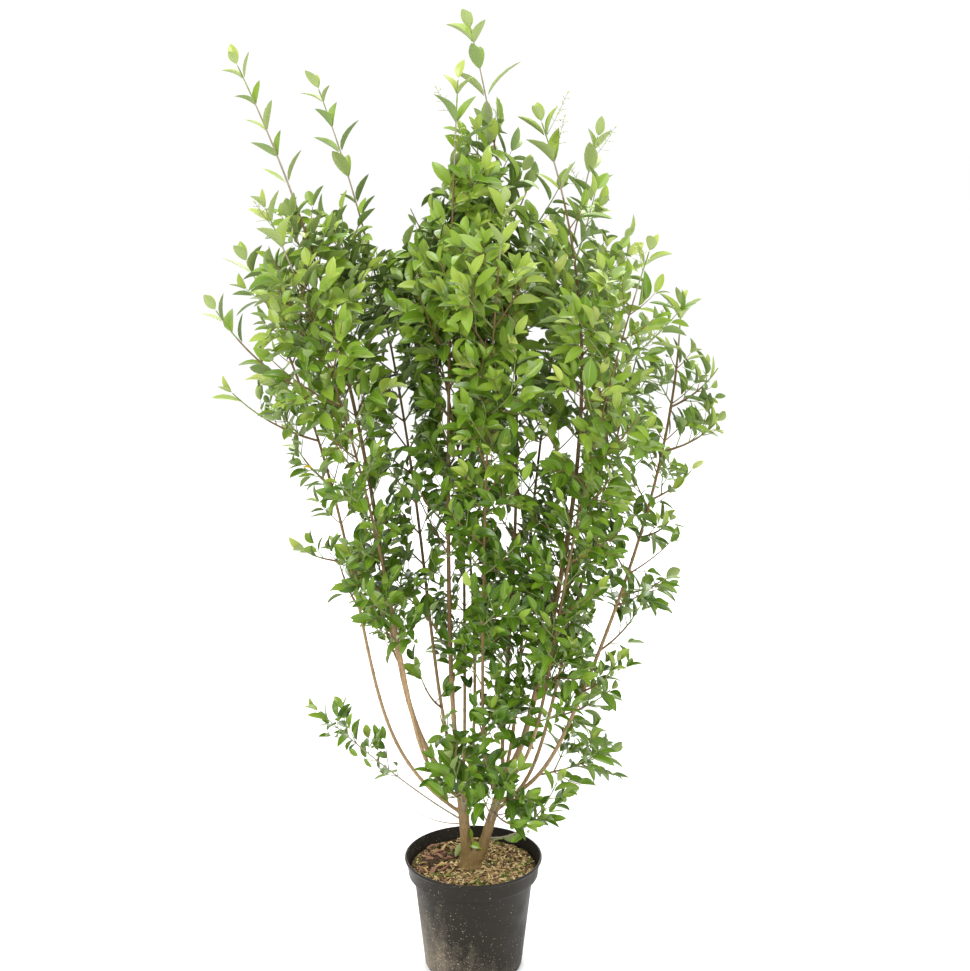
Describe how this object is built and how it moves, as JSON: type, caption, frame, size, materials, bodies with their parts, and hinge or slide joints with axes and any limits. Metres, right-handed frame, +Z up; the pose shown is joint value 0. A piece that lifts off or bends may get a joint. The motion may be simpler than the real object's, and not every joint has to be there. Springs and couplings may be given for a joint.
{
  "type": "potted california privet",
  "caption": "Upright, open, many-stemmed privet shrub with paired oval leaves on bare lower stems, in a round plastic nursery pot filled with mulch.",
  "frame": {"origin": "centre of the pot's flat underside", "axes": "+Z up along the pot's axis; +X to the right and +Y away from the viewer of the front, the side that the picture shows"},
  "size_m": [0.7952, 0.6056, 1.5267],
  "materials": {
    "pot": "matte black moulded plastic with dried splashes of soil",
    "soil": "straw-brown fibrous bark mulch with moss",
    "bark": "tan, finely fissured bark",
    "young_bark": "smooth reddish-brown young bark",
    "foliage": "glossy leaves, dark green below and yellow-green at the tips"
  },
  "bodies": {
    "root": {"pot": "pot", "soil": "soil", "trunk": "bark", "main_stem_left": "bark", "main_stem_right": "bark", "stem_centre": "young_bark", "stem_centre_back": "young_bark", "stem_centre_front": "young_bark", "stem_centre_right": "young_bark", "stem_far_left": "young_bark", "stem_far_right": "young_bark", "stem_left_back": "young_bark", "stem_left_front": "young_bark", "stem_left_inner": "young_bark", "stem_left_tall": "young_bark", "stem_right": "young_bark", "stem_right_back": "young_bark", "stem_right_front": "young_bark", "stem_right_outer": "young_bark", "foliage_centre": "foliage", "foliage_centre_a": "foliage", "foliage_centre_back": "foliage", "foliage_centre_front": "foliage", "foliage_centre_right": "foliage", "foliage_centre_right_a": "foliage", "foliage_far_left": "foliage", "foliage_far_left_a": "foliage", "foliage_far_left_b": "foliage", "foliage_far_left_c": "foliage", "foliage_far_left_d": "foliage", "foliage_far_left_e": "foliage", "foliage_far_right": "foliage", "foliage_far_right_a": "foliage", "foliage_far_right_b": "foliage", "foliage_far_right_c": "foliage", "foliage_far_right_d": "foliage", "foliage_far_right_e": "foliage", "foliage_far_right_f": "foliage", "foliage_far_right_g": "foliage", "foliage_far_right_h": "foliage", "foliage_left_back": "foliage", "foliage_left_front": "foliage", "foliage_left_inner": "foliage", "foliage_left_inner_a": "foliage", "foliage_left_tall": "foliage", "foliage_left_tall_a": "foliage", "foliage_left_tall_b": "foliage", "foliage_low_centre": "foliage", "foliage_low_front": "foliage", "foliage_low_left": "foliage", "foliage_low_right": "foliage", "foliage_right": "foliage", "foliage_right_a": "foliage", "foliage_right_b": "foliage", "foliage_right_back": "foliage", "foliage_right_front": "foliage", "foliage_right_outer": "foliage", "foliage_right_outer_a": "foliage", "foliage_right_outer_b": "foliage"}
  },
  "joints": []
}
